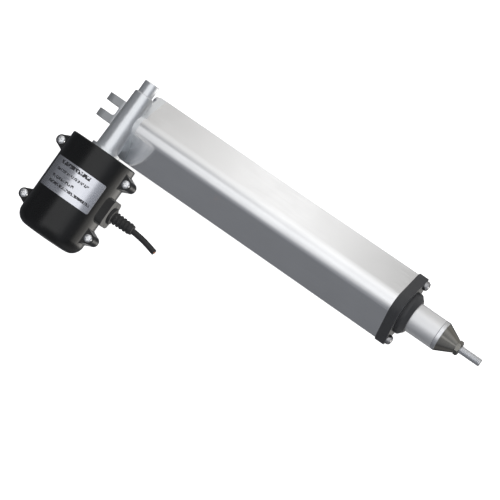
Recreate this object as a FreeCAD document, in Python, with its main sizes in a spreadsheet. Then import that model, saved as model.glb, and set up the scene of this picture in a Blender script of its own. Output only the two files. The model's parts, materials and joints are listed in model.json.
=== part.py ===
"""Worm-gear linear actuator: square aluminium tube, telescoping rod, side motor under a two-part cover.

Frame (mm): origin at the centre of the rear clevis pin, +X the way the rod extends,
-Y towards the motor, +Z towards the worm tunnel.
"""
import FreeCAD, Part
import math
import os

import Sketcher
from FreeCAD import Placement, Rotation, Vector

ROOT2 = math.sqrt(2.0)

# ---------------------------------------------------------------- driving sizes
SIZES = [
    # rear clevis
    ("pin_r", 5, "radius of the rear pin hole"),
    ("ear_gap", 10, "gap between the two ears"),
    ("ear_thick", 8, "thickness of each ear"),
    ("ear_r", 10, "radius of the ears' round ends"),
    ("slot_floor_x", 8.4, "bottom of the clevis slot"),
    # gear housing
    ("house_x", 12, "rear face of the wheel chamber"),
    ("house_r", 24.2, "outer radius of the wheel chamber"),
    ("chamber_x", 18.5, "floor of the wheel chamber"),
    ("chamber_r", 20.4, "inner radius of the wheel chamber"),
    ("flange_x", 33.6, "rear face of the housing's front flange"),
    ("flange_end_x", 40, "front face of the housing's front flange"),
    ("tube_x", 41.5, "rear end of the outer tube"),
    ("carrier_x", 33.5, "rear face of the bearing carrier"),
    ("carrier_end_x", 49, "front end of the bearing carrier"),
    ("carrier_lip_r", 14.5, "radius of the hole in the carrier's rear lip"),
    ("spigot_r", 21.9, "radius of the carrier's spigot in the tube"),
    # worm tunnel and motor axis
    ("worm_x", 27, "x of the motor and worm axis"),
    ("worm_z", 25, "z of the motor and worm axis"),
    ("tunnel_top_y", 27.5, "far end of the worm tunnel"),
    ("tunnel_top_r", 10.25, "tunnel radius at its far end"),
    ("tunnel_foot_r", 11.75, "tunnel radius beside the motor"),
    ("tunnel_bore_r", 8.8, "bore around the worm"),
    ("boss_r", 8, "radius of the bearing boss beyond the tunnel"),
    ("boss_end_y", 40.5, "end of the bearing boss"),
    ("foot_r", 15.5, "radius of the round foot that carries the motor"),
    ("foot_top_y", 35.5, "distance from the tube axis to the foot"),
    ("motor_face", 41, "distance from the tube axis to the motor's front plate"),
    # outer tube and the parts in it
    ("tube_half", 26, "half the tube's width across flats"),
    ("tube_side_r", 2.5, "corner radius at the two screw corners"),
    ("tube_ridge_r", 14.5, "corner radius at the two round ridges"),
    ("tube_wall", 3, "wall of the tube"),
    ("cavity_side_r", 14, "radius in the cavity beside the screw channels"),
    ("tube_end_x", 338.5, "front end of the outer tube"),
    ("corner_y", 30.5, "distance of the corner screws from the tube axis"),
    ("corner_screw_r", 2.5, "radius of the corner screws"),
    ("corner_depth", 20, "depth of the corner screws in the tube"),
    ("gasket", 0.6, "thickness of the front gasket"),
    ("bush_x", 319.5, "rear face of the rod's guide bush"),
    # front cap
    ("cap_proud", 1.5, "how far the front cap stands out from the tube"),
    ("cap_face_x", 349.2, "front face of the cap beside its collar"),
    ("collar_r", 22, "radius of the cap's collar"),
    ("collar_lip_x", 353.6, "where the collar's chamfer begins"),
    ("collar_end_x", 357.6, "front end of the collar"),
    ("wiper_x", 345, "rear face of the wiper seal"),
    ("wiper_end_x", 352.5, "front face of the wiper seal"),
    ("wiper_r", 18.5, "outer radius of the wiper seal"),
    # rod
    ("rod_r", 15, "outer radius of the rod tube"),
    ("rod_bore_r", 12, "inner radius of the rod tube"),
    ("rod_x", 56, "rear end of the rod tube, retracted"),
    ("rod_end_x", 386, "front end of the rod tube, retracted"),
    ("ring_end_x", 390.5, "front face of the rod's end ring"),
    ("cone_end_x", 406.5, "front face of the rod's cone"),
    ("cone_end_r", 6.6, "small radius of the rod's cone"),
    ("stud_r", 4, "radius of the end stud"),
    ("stud_root_r", 3.4, "radius of the end stud in its cone and nut"),
    ("stud_wall_x", 411.5, "where the end stud has its full radius"),
    ("stud_end_x", 433, "tip of the end stud"),
    ("nut_width", 13, "width across flats of the stud's nut"),
    ("nut_height", 4, "height of the stud's nut"),
    # lead screw
    ("screw_r", 8, "outer radius of the lead screw"),
    ("screw_root_r", 5.5, "radius at the bottom of the screw's grooves"),
    ("lead", 5, "lead of the lead screw"),
    ("thread_x", 54, "first groove of the lead screw"),
    ("screw_end_x", 326, "front end of the lead screw"),
    ("seat_r", 7.5, "radius of the screw's bearing and wheel seat"),
    ("journal_r", 5, "radius of the screw's rear journal"),
    ("play", 0.04, "radial clearance of every running fit"),
    ("bearing_x", 35.5, "rear face of the main bearing"),
    ("bearing_end_x", 46.5, "front face of the main bearing"),
    ("bearing_r", 17.5, "outer radius of the main bearing"),
    # worm gearing
    ("gear_module", 1.25, "module of worm and wheel"),
    ("wheel_teeth", 29, "teeth on the worm wheel"),
    ("wheel_face", 12, "face width of the worm wheel"),
    ("key_deep", 3, "depth of the wheel's keyway in the lead screw"),
    ("worm_pitch_r", 6.875, "pitch radius of the worm"),
    ("worm_length", 24, "threaded length of the worm"),
    ("flank_play", 0.15, "clearance between a worm flank and a tooth flank"),
    # motor, measured from the tube axis along the motor axis
    ("shaft_r", 4, "radius of the motor shaft"),
    ("shaft_tip_r", 3, "radius of the shaft's end journals"),
    ("can_r", 31, "outer radius of the motor can"),
    ("can_wall", 2, "wall of the motor can"),
    ("can_a", 44, "open end of the motor can"),
    ("can_end_a", 124, "closed end of the motor can"),
    ("cover_a", 38.5, "top of the motor cover"),
    ("cover_end_a", 138.5, "bottom of the motor cover"),
    ("cover_r", 35.5, "outer radius of the motor cover"),
    ("cover_wall", 2.2, "wall of the motor cover"),
    ("cover_round", 13, "radius of the cover's bottom edge"),
    ("lug_a1", 53, "upper pair of cover screws"),
    ("lug_a2", 115, "lower pair of cover screws"),
    ("lug_b", 39, "distance of the cover screws from the motor axis"),
    ("lug_r", 5.5, "radius of a cover screw's post"),
    ("lug_high", 11, "height of a post on each half of the cover"),
    ("gland_a", 85, "cable outlet, along the motor axis"),
    ("gland_r", 14, "radius of the boss around the cable outlet"),
    ("gland_b", 41, "face of the boss around the cable outlet"),
    ("label_a1", 65, "upper edge of the nameplate"),
    ("label_a2", 97.5, "lower edge of the nameplate"),
    ("label_half_angle", 52, "half the angle that the nameplate covers"),
    ("label_thick", 0.35, "thickness of the nameplate"),
    # cable
    ("cable_r", 3, "radius of the power cable"),
    ("relief_b", 67, "end of the strain relief, from the motor axis"),
]

doc = FreeCAD.newDocument("LinearActuator")
sheet = doc.addObject("Spreadsheet::Sheet", "Sizes")


class Size:
    """A length with its spreadsheet expression and its present value."""

    def __init__(self, text, value):
        self.text = text
        self.value = float(value)

    def join(self, sign, other, value):
        return Size("(%s %s %s)" % (self.text, sign, other.text), value)

    def __add__(self, other):
        other = size(other)
        return self.join("+", other, self.value + other.value)

    def __sub__(self, other):
        other = size(other)
        return self.join("-", other, self.value - other.value)

    def __mul__(self, other):
        other = size(other)
        return self.join("*", other, self.value * other.value)

    def __neg__(self):
        return Size("(0 - %s)" % self.text, -self.value)

    def __radd__(self, other):
        return size(other) + self

    def __rsub__(self, other):
        return size(other) - self

    def __rmul__(self, other):
        return size(other) * self


def size(number):
    """A Size as it is, or a plain number as a Size."""
    if isinstance(number, Size):
        return number
    return Size("%.9g" % number, number)


S = {}
for row, (alias, number, note) in enumerate(SIZES, 1):
    sheet.set("A%d" % row, note)
    sheet.set("B%d" % row, str(number))
    sheet.setAlias("B%d" % row, alias)
    S[alias] = Size("Sizes." + alias, number)
doc.recompute()

NODES = []


# ---------------------------------------------------------------- modelling helpers
def along_motor():
    """The placement of a piece drawn with the motor axis as its X axis, from the tube's level."""
    return Placement(Vector(S["worm_x"].value, 0, S["worm_z"].value), Rotation(Vector(0, 0, 1), -90))


class Piece:
    """One body built from sketches that are bound to the sheet."""

    def __init__(self, label, motor_axis=False, node=True):
        self.body = doc.addObject("PartDesign::Body", label)
        self.body.Label = label
        if motor_axis:
            self.body.Placement = along_motor()
            self.body.setExpression("Placement.Base.x", "Sizes.worm_x")
            self.body.setExpression("Placement.Base.z", "Sizes.worm_z")
        if node:
            NODES.append(self.body)

    def origin(self, role):
        return [f for f in self.body.Origin.OriginFeatures if f.Role == role][0]

    def sketch(self, plane="XY_Plane", offset=0):
        made = self.body.newObject("Sketcher::SketchObject", self.body.Label + "_sketch")
        made.AttachmentSupport = [(self.origin(plane), "")]
        made.MapMode = "FlatFace"
        offset = size(offset)
        made.AttachmentOffset = Placement(Vector(0, 0, offset.value), Rotation())
        if offset.value:
            made.setExpression("AttachmentOffset.Base.z", offset.text)
        return made

    def feature(self, kind, profile=None, **numbers):
        """Add a feature, bind its sizes and check that it worked."""
        made = self.body.newObject("PartDesign::" + kind, self.body.Label + "_" + kind)
        if profile is not None:
            made.Profile = profile
            profile.Visibility = False
        for name, number in numbers.items():
            if isinstance(number, Size):
                setattr(made, name, number.value)
                made.setExpression(name, number.text)
            else:
                setattr(made, name, number)
        return made

    def done(self, made, adds=None, before=0.0):
        doc.recompute()
        if "Invalid" in made.State or "Error" in made.State or made.Shape.isNull():
            raise RuntimeError("%s: %s failed" % (self.body.Label, made.Name))
        after = self.body.Shape.Volume
        if adds is True and after <= before or adds is False and after >= before:
            raise RuntimeError("%s: %s changed nothing" % (self.body.Label, made.Name))
        return made

    def volume(self):
        return self.body.Shape.Volume if self.body.Tip else 0.0

    def pad(self, profile, length, back=False):
        before = self.volume()
        return self.done(self.feature("Pad", profile, Length=size(length), Reversed=back), True, before)

    def pocket(self, profile, length, back=False):
        before = self.volume()
        return self.done(self.feature("Pocket", profile, Length=size(length), Reversed=back), False, before)

    def revolve(self, profile, angle=360, back=False, cut=False, mid=False):
        before = self.volume()
        made = self.feature("Groove" if cut else "Revolution", profile)
        made.ReferenceAxis = (self.origin("X_Axis"), [""])
        made.Angle = size(angle).value
        if isinstance(angle, Size):
            made.setExpression("Angle", angle.text)
        made.Midplane = mid
        made.Reversed = back
        return self.done(made, not cut, before)

    def turn(self, points, cut=False):
        """Revolve a bound outline of (axial, radius) points about the X axis."""
        outline = self.sketch()
        polygon(outline, points)
        return self.revolve(outline, cut=cut)

    def round_edges(self, test, radius):
        """Fillet the edges that pass a test, in the body's own frame."""
        base = self.body.Tip
        names = ["Edge%d" % (i + 1) for i, edge in enumerate(base.Shape.Edges) if test(edge)]
        made = self.body.newObject("PartDesign::Fillet", self.body.Label + "_Fillet")
        made.Base = (base, names)
        radius = size(radius)
        made.Radius = radius.value
        if "Sizes" in radius.text:
            made.setExpression("Radius", radius.text)
        return self.done(made)

    def polar(self, made, count):
        pattern = self.body.newObject("PartDesign::PolarPattern", self.body.Label + "_ring")
        pattern.Originals = [made]
        pattern.Axis = (self.origin("X_Axis"), [""])
        pattern.Angle = 360
        pattern.Occurrences = count
        self.body.Tip = pattern
        return self.done(pattern)


def pin_point(sketch, geo, pos, x, y):
    """Bind a sketch point to the sheet, or to an axis where its coordinate is 0."""
    for kind, coordinate, axis in (("DistanceX", size(x), -2), ("DistanceY", size(y), -1)):
        if coordinate.value == 0:
            sketch.addConstraint(Sketcher.Constraint("PointOnObject", geo, pos, axis))
            continue
        row = sketch.addConstraint(Sketcher.Constraint(kind, -1, 1, geo, pos, coordinate.value))
        if "Sizes" in coordinate.text:
            sketch.setExpression("Constraints[%d]" % row, coordinate.text)


def polygon(sketch, points):
    """A closed outline through bound points."""
    flat = [Vector(size(x).value, size(y).value, 0) for x, y in points]
    first = len(sketch.Geometry)
    count = len(flat)
    for i in range(count):
        sketch.addGeometry(Part.LineSegment(flat[i], flat[(i + 1) % count]), False)
    for i in range(count):
        sketch.addConstraint(
            Sketcher.Constraint("Coincident", first + i, 2, first + (i + 1) % count, 1)
        )
    for i, (x, y) in enumerate(points):
        pin_point(sketch, first + i, 1, x, y)


def circle(sketch, x, y, radius):
    """A circle with a bound centre and radius."""
    radius = size(radius)
    centre = Vector(size(x).value, size(y).value, 0)
    geo = sketch.addGeometry(Part.Circle(centre, Vector(0, 0, 1), radius.value), False)
    pin_point(sketch, geo, 3, x, y)
    row = sketch.addConstraint(Sketcher.Constraint("Radius", geo, radius.value))
    if "Sizes" in radius.text:
        sketch.setExpression("Constraints[%d]" % row, radius.text)


def rectangle(sketch, x1, y1, x2, y2):
    polygon(sketch, [(x1, y1), (x2, y1), (x2, y2), (x1, y2)])


def diamond(sketch, half, side_r, ridge_r):
    """A square on its corner, half across its flats, with a radius for its Y and its Z corners."""
    reach = size(half) * ROOT2
    first = len(sketch.Geometry)
    ends = []
    for number in range(4):
        radius = size(ridge_r if number % 2 else side_r)
        inset = radius * (1 / ROOT2)
        far = reach - inset
        ends.append(
            [
                [(far, -inset), (far, inset)],
                [(inset, far), (-inset, far)],
                [(-far, inset), (-far, -inset)],
                [(-inset, -far), (inset, -far)],
            ][number]
        )
        heading = number * math.pi / 2
        from_axis = reach.value - radius.value * ROOT2
        centre = Vector(from_axis * math.cos(heading), from_axis * math.sin(heading), 0)
        arc = Part.ArcOfCircle(
            Part.Circle(centre, Vector(0, 0, 1), radius.value),
            heading - math.pi / 4,
            heading + math.pi / 4,
        )
        geo = sketch.addGeometry(arc, False)
        row = sketch.addConstraint(Sketcher.Constraint("Radius", geo, radius.value))
        if "Sizes" in radius.text:
            sketch.setExpression("Constraints[%d]" % row, radius.text)
    for number in range(4):
        start, end = ends[number][1], ends[(number + 1) % 4][0]
        flat = [Vector(x.value, y.value, 0) for x, y in (start, end)]
        line = sketch.addGeometry(Part.LineSegment(*flat), False)
        sketch.addConstraint(Sketcher.Constraint("Coincident", line, 1, first + number, 2))
        sketch.addConstraint(
            Sketcher.Constraint("Coincident", line, 2, first + (number + 1) % 4, 1)
        )
        pin_point(sketch, line, 1, *start)
        pin_point(sketch, line, 2, *end)


def hexagon(sketch, width):
    """A hexagon about the origin, width across its flats."""
    half = size(width) * 0.5
    corner = half * (2 / math.sqrt(3.0))
    polygon(
        sketch,
        [
            (corner, 0),
            (corner * 0.5, half),
            (-(corner * 0.5), half),
            (-corner, 0),
            (-(corner * 0.5), -half),
            (corner * 0.5, -half),
        ],
    )


def group(label, objects):
    """Several solids that make one node."""
    made = doc.addObject("Part::Compound", label)
    made.Label = label
    made.Links = objects
    doc.recompute()
    NODES.append(made)
    return made


def mirrored(source, normal):
    made = doc.addObject("Part::Mirroring", source.Label + "_mirror")
    made.Source = source
    made.Base = Vector(0, 0, 0)
    made.Normal = normal
    doc.recompute()
    return made


# ---------------------------------------------------------------- gear housing
half_gap = S["ear_gap"] * 0.5
half_ears = half_gap + S["ear_thick"]
tube_outline = (S["tube_half"], S["tube_side_r"], S["tube_ridge_r"])

housing = Piece("gear_housing")
housing.turn(
    [
        (S["house_x"], 0),
        (S["flange_end_x"], 0),
        (S["flange_end_x"], S["house_r"]),
        (S["house_x"] + 5.5, S["house_r"]),
        (S["house_x"] + 3.2, S["house_r"] - 2),
        (S["house_x"], S["house_r"] - 11),
    ]
)
flange = housing.sketch("YZ_Plane", S["flange_x"])
diamond(flange, *tube_outline)
housing.pad(flange, S["flange_end_x"] - S["flange_x"])

tunnel_foot = housing.sketch("XZ_Plane", S["foot_top_y"])
circle(tunnel_foot, S["worm_x"], S["worm_z"], S["tunnel_foot_r"])
tunnel_top = housing.sketch("XZ_Plane", -S["tunnel_top_y"])
circle(tunnel_top, S["worm_x"], S["worm_z"], S["tunnel_top_r"])
before = housing.volume()
tunnel = housing.feature("AdditiveLoft", tunnel_foot, Sections=[tunnel_top], Ruled=True)
housing.done(tunnel, True, before)
foot = housing.sketch("XZ_Plane", S["foot_top_y"])
circle(foot, S["worm_x"], S["worm_z"], S["foot_r"])
housing.pad(foot, S["motor_face"] - S["foot_top_y"])
boss = housing.sketch("XZ_Plane", -S["tunnel_top_y"])
circle(boss, S["worm_x"], S["worm_z"], S["boss_r"])
housing.pad(boss, S["boss_end_y"] - S["tunnel_top_y"], back=True)
saddle = housing.sketch("XZ_Plane", -S["tunnel_top_y"] + 3)
rectangle(saddle, S["worm_x"] - 8, 9, S["worm_x"] + 8, S["worm_z"])
housing.pad(saddle, S["tunnel_top_y"] - 3 + S["foot_top_y"])

clevis = housing.sketch("XY_Plane", -S["ear_r"])
rectangle(clevis, 0, -half_ears, S["house_x"] + 3, half_ears)
housing.pad(clevis, S["ear_r"] * 2)
ear = housing.sketch("XZ_Plane", -half_ears)
circle(ear, 0, 0, S["ear_r"])
housing.pad(ear, half_ears * 2)
slot = housing.sketch("XY_Plane", -S["ear_r"] - 1)
rectangle(slot, -S["ear_r"] - 1, -half_gap, S["slot_floor_x"], half_gap)
housing.pocket(slot, S["ear_r"] * 2 + 2, back=True)
housing.round_edges(
    lambda edge: abs(edge.CenterOfMass.x - S["slot_floor_x"].value) < 0.01
    and abs(abs(edge.CenterOfMass.y) - half_gap.value) < 0.01
    and abs(edge.CenterOfMass.z) < 0.01,
    2.5,
)
pin_hole = housing.sketch("XZ_Plane", -half_ears - 1)
circle(pin_hole, 0, 0, S["pin_r"])
housing.pocket(pin_hole, half_ears * 2 + 2, back=True)

housing.turn(
    [
        (S["slot_floor_x"] + 1.5, 0),
        (S["flange_end_x"] + 1, 0),
        (S["flange_end_x"] + 1, S["chamber_r"]),
        (S["chamber_x"], S["chamber_r"]),
        (S["chamber_x"], 8),
        (S["slot_floor_x"] + 1.5, 8),
    ],
    cut=True,
)
for start, end, radius in (
    (S["motor_face"] + 1, 26.5, 9.5),
    (27, -22, S["tunnel_bore_r"]),
    (-21, -28, 5.2),
    (-28, -S["boss_end_y"] - 1, 6),
):
    bore = housing.sketch("XZ_Plane", start)
    circle(bore, S["worm_x"], S["worm_z"], radius)
    housing.pocket(bore, start - size(end))
corner_holes = housing.sketch("YZ_Plane", S["flange_x"] - 1)
for sign in (1, -1):
    circle(corner_holes, sign * S["corner_y"], 0, S["corner_screw_r"])
housing.pocket(corner_holes, S["flange_end_x"] - S["flange_x"] + 2, back=True)
mount_holes = housing.sketch("XZ_Plane", S["motor_face"])
for sign in (1, -1):
    circle(mount_holes, S["worm_x"] + sign * 12.5, S["worm_z"], 1.9)
housing.pocket(mount_holes, 5)
for shoulder_y, radius in ((S["boss_end_y"], S["boss_r"]), (S["tunnel_top_y"], S["tunnel_top_r"])):
    housing.round_edges(
        lambda edge: abs(edge.CenterOfMass.y - shoulder_y.value) < 0.01
        and abs(edge.BoundBox.XLength - 2 * radius.value) < 0.01,
        1.2,
    )


carrier = Piece("bearing_carrier")
carrier.turn(
    [
        (S["carrier_x"], 0),
        (S["carrier_end_x"], 0),
        (S["carrier_end_x"], S["spigot_r"] - 1),
        (S["carrier_end_x"] - 1, S["spigot_r"]),
        (S["flange_end_x"], S["spigot_r"]),
        (S["flange_end_x"], S["chamber_r"]),
        (S["carrier_x"] + 1.5, S["chamber_r"]),
        (S["carrier_x"], S["chamber_r"] - 1.5),
    ]
)
carrier_plate = carrier.sketch("YZ_Plane", S["flange_end_x"])
diamond(carrier_plate, *tube_outline)
carrier.pad(carrier_plate, S["tube_x"] - S["flange_end_x"])
carrier.turn(
    [
        (S["carrier_x"] - 1, 0),
        (S["carrier_end_x"] + 1, 0),
        (S["carrier_end_x"] + 1, S["bearing_r"]),
        (S["bearing_end_x"] + 1.5, S["bearing_r"]),
        (S["bearing_end_x"] + 1.5, S["bearing_r"] + 0.9),
        (S["bearing_end_x"], S["bearing_r"] + 0.9),
        (S["bearing_end_x"], S["bearing_r"]),
        (S["bearing_x"], S["bearing_r"]),
        (S["bearing_x"], S["carrier_lip_r"]),
        (S["carrier_x"] - 1, S["carrier_lip_r"]),
    ],
    cut=True,
)
carrier_holes = carrier.sketch("YZ_Plane", S["flange_end_x"] - 1)
for sign in (1, -1):
    circle(carrier_holes, sign * S["corner_y"], 0, S["corner_screw_r"])
carrier.pocket(carrier_holes, S["tube_x"] - S["flange_end_x"] + 2, back=True)


def ring(label, x1, x2, inner, outer, motor_axis=False):
    """A plain ring with chamfered outer edges."""
    edge = 0.4
    piece = Piece(label, motor_axis)
    piece.turn(
        [
            (x1, inner),
            (x2, inner),
            (x2, size(outer) - edge),
            (size(x2) - edge, outer),
            (size(x1) + edge, outer),
            (x1, size(outer) - edge),
        ]
    )
    return piece


def sealed_bearing(label, x1, x2, inner, outer, motor_axis=False):
    """A sealed ball bearing: rings and balls as one solid, with a shield groove on each face."""
    piece = ring(label, x1, x2, inner, outer, motor_axis)
    span = size(outer) - inner
    low, high = size(inner) + span * 0.27, size(outer) - span * 0.22
    for face, inside in ((size(x1), 0.5), (size(x2), -0.5)):
        outside = face - inside
        piece.turn(
            [(face + inside, low), (face + inside, high), (outside, high), (outside, low)], cut=True
        )
    return piece


sealed_bearing("main_bearing", S["bearing_x"], S["bearing_end_x"], S["seat_r"] + S["play"], S["bearing_r"])
ring("bearing_circlip", S["bearing_end_x"], S["bearing_end_x"] + 1.5, 15.5, S["bearing_r"] + 0.9)
ring("rear_bush", S["slot_floor_x"] + 1.5, S["chamber_x"], S["journal_r"] + S["play"], 8)

# ---------------------------------------------------------------- outer tube
cavity_half = S["tube_half"] - S["tube_wall"]
cavity_ridge_r = S["tube_ridge_r"] - S["tube_wall"]
cavity_outline = (cavity_half, S["cavity_side_r"], cavity_ridge_r)


def diamond_piece(label, outline, x1, x2):
    """A prism along X with the outline (half width, Y corner radius, Z corner radius)."""
    piece = Piece(label)
    section = piece.sketch("YZ_Plane", x1)
    diamond(section, *outline)
    piece.pad(section, size(x2) - x1)
    return piece


tube = diamond_piece("outer_tube", tube_outline, S["tube_x"], S["tube_end_x"])
cavity = tube.sketch("YZ_Plane", S["tube_x"])
diamond(cavity, *cavity_outline)
tube.pocket(cavity, S["tube_end_x"] - S["tube_x"], back=True)
for start, back in ((S["tube_x"], True), (S["tube_end_x"], False)):
    channel = tube.sketch("YZ_Plane", start)
    for sign in (1, -1):
        circle(channel, sign * S["corner_y"], 0, S["corner_screw_r"])
    tube.pocket(channel, S["corner_depth"], back=back)

# ---------------------------------------------------------------- front of the tube
bush = diamond_piece("guide_bush", cavity_outline, S["bush_x"], S["tube_end_x"])
bush.turn(
    [
        (S["bush_x"] - 1, 0),
        (S["bush_x"] - 1, S["rod_r"] + 1.2),
        (S["bush_x"] + 1, S["rod_r"] + S["play"]),
        (S["tube_end_x"] + 1, S["rod_r"] + S["play"]),
        (S["tube_end_x"] + 1, 0),
    ],
    cut=True,
)

cap_x = S["tube_end_x"] + S["gasket"]
gasket = diamond_piece("front_gasket", tube_outline, S["tube_end_x"], cap_x)
gasket_hole = gasket.sketch("YZ_Plane", S["tube_end_x"] - 1)
circle(gasket_hole, 0, 0, 20.5)
for sign in (1, -1):
    circle(gasket_hole, sign * S["corner_y"], 0, S["corner_screw_r"])
gasket.pocket(gasket_hole, S["gasket"] + 2, back=True)

cap_outline = [length + S["cap_proud"] for length in tube_outline]
cap = diamond_piece("front_cap", cap_outline, cap_x, S["cap_face_x"])
cap.round_edges(
    lambda edge: abs(edge.BoundBox.XMin - S["cap_face_x"].value) < 0.01
    and abs(edge.BoundBox.XMax - S["cap_face_x"].value) < 0.01,
    0.6,
)
cap.turn(
    [
        (S["cap_face_x"] - 3, 0),
        (S["collar_end_x"], 0),
        (S["collar_end_x"], S["rod_r"] + 2.2),
        (S["collar_lip_x"], S["collar_r"] - 0.4),
        (S["collar_lip_x"] - 1, S["collar_r"]),
        (S["cap_face_x"] - 3, S["collar_r"]),
    ]
)
cap.turn(
    [
        (cap_x - 1, 0),
        (cap_x - 1, S["wiper_r"]),
        (S["wiper_end_x"], S["wiper_r"]),
        (S["wiper_end_x"], S["rod_r"] + 0.6),
        (S["collar_end_x"] + 1, S["rod_r"] + 0.6),
        (S["collar_end_x"] + 1, 0),
    ],
    cut=True,
)
cap_holes = cap.sketch("YZ_Plane", cap_x - 1)
for sign in (1, -1):
    circle(cap_holes, sign * S["corner_y"], 0, S["corner_screw_r"])
cap.pocket(cap_holes, S["cap_face_x"] - cap_x + 2, back=True)

wiper = Piece("wiper_seal")
wiper.turn(
    [
        (S["wiper_x"], S["rod_r"] + S["play"]),
        (S["wiper_end_x"], S["rod_r"] + S["play"]),
        (S["wiper_end_x"], S["wiper_r"]),
        (S["wiper_x"], S["wiper_r"]),
        (S["wiper_x"], S["rod_r"] + 2.4),
        (S["wiper_x"] + 2, S["rod_r"] + 2),
        (S["wiper_x"] + 2, S["rod_r"] + 1),
    ]
)


def corner_screw(label, head_x, head_r, head_high, point_x, socket):
    """A screw along X at the tube's corner, its head towards the side away from its point."""
    way = 1 if size(head_x).value > size(point_x).value else -1
    piece = Piece(label, node=False)
    top = size(head_x) + way * head_high
    piece.turn(
        [
            (point_x, 0),
            (point_x, S["corner_screw_r"] - 0.6),
            (size(point_x) + way * 0.6, S["corner_screw_r"]),
            (head_x, S["corner_screw_r"]),
            (head_x, head_r),
            (top - way * head_high * 0.55, head_r),
            (top - way * head_high * 0.18, head_r * 0.82),
            (top, head_r * 0.5),
            (top, 0),
        ]
    )
    recess = piece.sketch("YZ_Plane", top)
    hexagon(recess, socket)
    piece.pocket(recess, 2, back=way < 0)
    piece.body.Placement = Placement(Vector(0, S["corner_y"].value, 0), Rotation())
    piece.body.setExpression("Placement.Base.y", "Sizes.corner_y")
    doc.recompute()
    return piece.body


cap_screw = corner_screw(
    "cap_screw", S["cap_face_x"], 4.8, 4.6, S["tube_end_x"] - S["corner_depth"] + 1, 3
)
group("front_cap_screws", [cap_screw, mirrored(cap_screw, Vector(0, 1, 0))])
flange_screw = corner_screw(
    "flange_screw", S["flange_x"], 4.2, 4.2, S["tube_x"] + S["corner_depth"] - 1, 3
)
group("rear_flange_screws", [flange_screw, mirrored(flange_screw, Vector(0, 1, 0))])

# ---------------------------------------------------------------- limit switches
rail = Piece("limit_switch_rail")
rail_end = rail.sketch("YZ_Plane", S["carrier_end_x"])
rectangle(rail_end, -4, -25.2, 4, -23.6)
rail.pad(rail_end, S["bush_x"] - S["carrier_end_x"])


def limit_switch(label, x1):
    piece = Piece(label, node=False)
    side = piece.sketch("XZ_Plane", -3)
    rectangle(side, x1, -23.6, x1 + 20, -20)
    piece.pad(side, 6)
    lever = piece.sketch("XZ_Plane", -1.5)
    polygon(lever, [(x1 + 4, -20.2), (x1 + 17, -20.2), (x1 + 17, -19.2), (x1 + 15, -19.2)])
    piece.pad(lever, 3)
    return piece.body


group("limit_switches", [limit_switch("rear_switch", 72), limit_switch("front_switch", 292)])

# ---------------------------------------------------------------- rod and drive nut
rod = Piece("rod_tube")
rod.turn(
    [
        (S["rod_x"], S["rod_bore_r"]),
        (S["rod_end_x"], S["rod_bore_r"]),
        (S["rod_end_x"], S["rod_r"]),
        (S["rod_x"], S["rod_r"]),
    ]
)
nut = Piece("drive_nut")
nut.turn(
    [
        (S["rod_x"] - 6, S["screw_r"] + S["play"]),
        (S["rod_x"] + 18, S["screw_r"] + S["play"]),
        (S["rod_x"] + 18, S["rod_bore_r"] - 1),
        (S["rod_x"] + 17, S["rod_bore_r"]),
        (S["rod_x"], S["rod_bore_r"]),
        (S["rod_x"], S["rod_r"]),
        (S["rod_x"] - 6, S["rod_r"]),
    ]
)
slide_outline = (cavity_half - S["play"], S["cavity_side_r"], cavity_ridge_r)
slide = diamond_piece("nut_slide", slide_outline, S["rod_x"] - 6, S["rod_x"] + 12)
slide_bore = slide.sketch("YZ_Plane", S["rod_x"] - 7)
circle(slide_bore, 0, 0, S["rod_r"])
slide.pocket(slide_bore, 20, back=True)
for low in (-30, 18.6):
    ridge = slide.sketch("XY_Plane", low)
    rectangle(ridge, S["rod_x"] - 7, -20, S["rod_x"] + 13, 20)
    slide.pocket(ridge, 11.4, back=True)

end_ring = ring("rod_end_ring", S["rod_end_x"], S["ring_end_x"], 8, S["rod_r"])
cone = Piece("rod_end_cone")
cone.turn(
    [
        (S["rod_end_x"] - 18, 0),
        (S["rod_end_x"] - 18, S["rod_bore_r"] - 1),
        (S["rod_end_x"] - 17, S["rod_bore_r"]),
        (S["rod_end_x"], S["rod_bore_r"]),
        (S["rod_end_x"], 8),
        (S["ring_end_x"], 8),
        (S["ring_end_x"], S["rod_r"] - 0.3),
        (S["cone_end_x"], S["cone_end_r"]),
        (S["cone_end_x"], 0),
    ]
)
stud_start = S["cone_end_x"] - 24
cone.turn(
    [
        (stud_start, 0),
        (stud_start, S["stud_root_r"]),
        (S["cone_end_x"] + 1, S["stud_root_r"]),
        (S["cone_end_x"] + 1, 0),
    ],
    cut=True,
)
stud = Piece("end_stud")
stud.turn(
    [
        (stud_start, 0),
        (stud_start, S["stud_root_r"]),
        (S["stud_wall_x"], S["stud_root_r"]),
        (S["stud_wall_x"], S["stud_r"]),
        (S["stud_end_x"] - 0.8, S["stud_r"]),
        (S["stud_end_x"], S["stud_r"] - 0.8),
        (S["stud_end_x"], 0),
    ]
)
stud_nut = Piece("stud_nut")
nut_outline = stud_nut.sketch("YZ_Plane", S["cone_end_x"])
hexagon(nut_outline, S["nut_width"])
stud_nut.pad(nut_outline, S["nut_height"])
stud_nut.turn(
    [
        (S["cone_end_x"] + S["nut_height"] - 0.9, S["nut_width"] * 0.58),
        (S["cone_end_x"] + S["nut_height"] + 0.1, S["nut_width"] * 0.48),
        (S["cone_end_x"] + S["nut_height"] + 0.1, S["nut_width"]),
        (S["cone_end_x"] + S["nut_height"] - 0.9, S["nut_width"]),
    ],
    cut=True,
)
nut_hole = stud_nut.sketch("YZ_Plane", S["cone_end_x"] - 1)
circle(nut_hole, 0, 0, S["stud_root_r"])
stud_nut.pocket(nut_hole, S["nut_height"] + 2, back=True)

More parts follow.
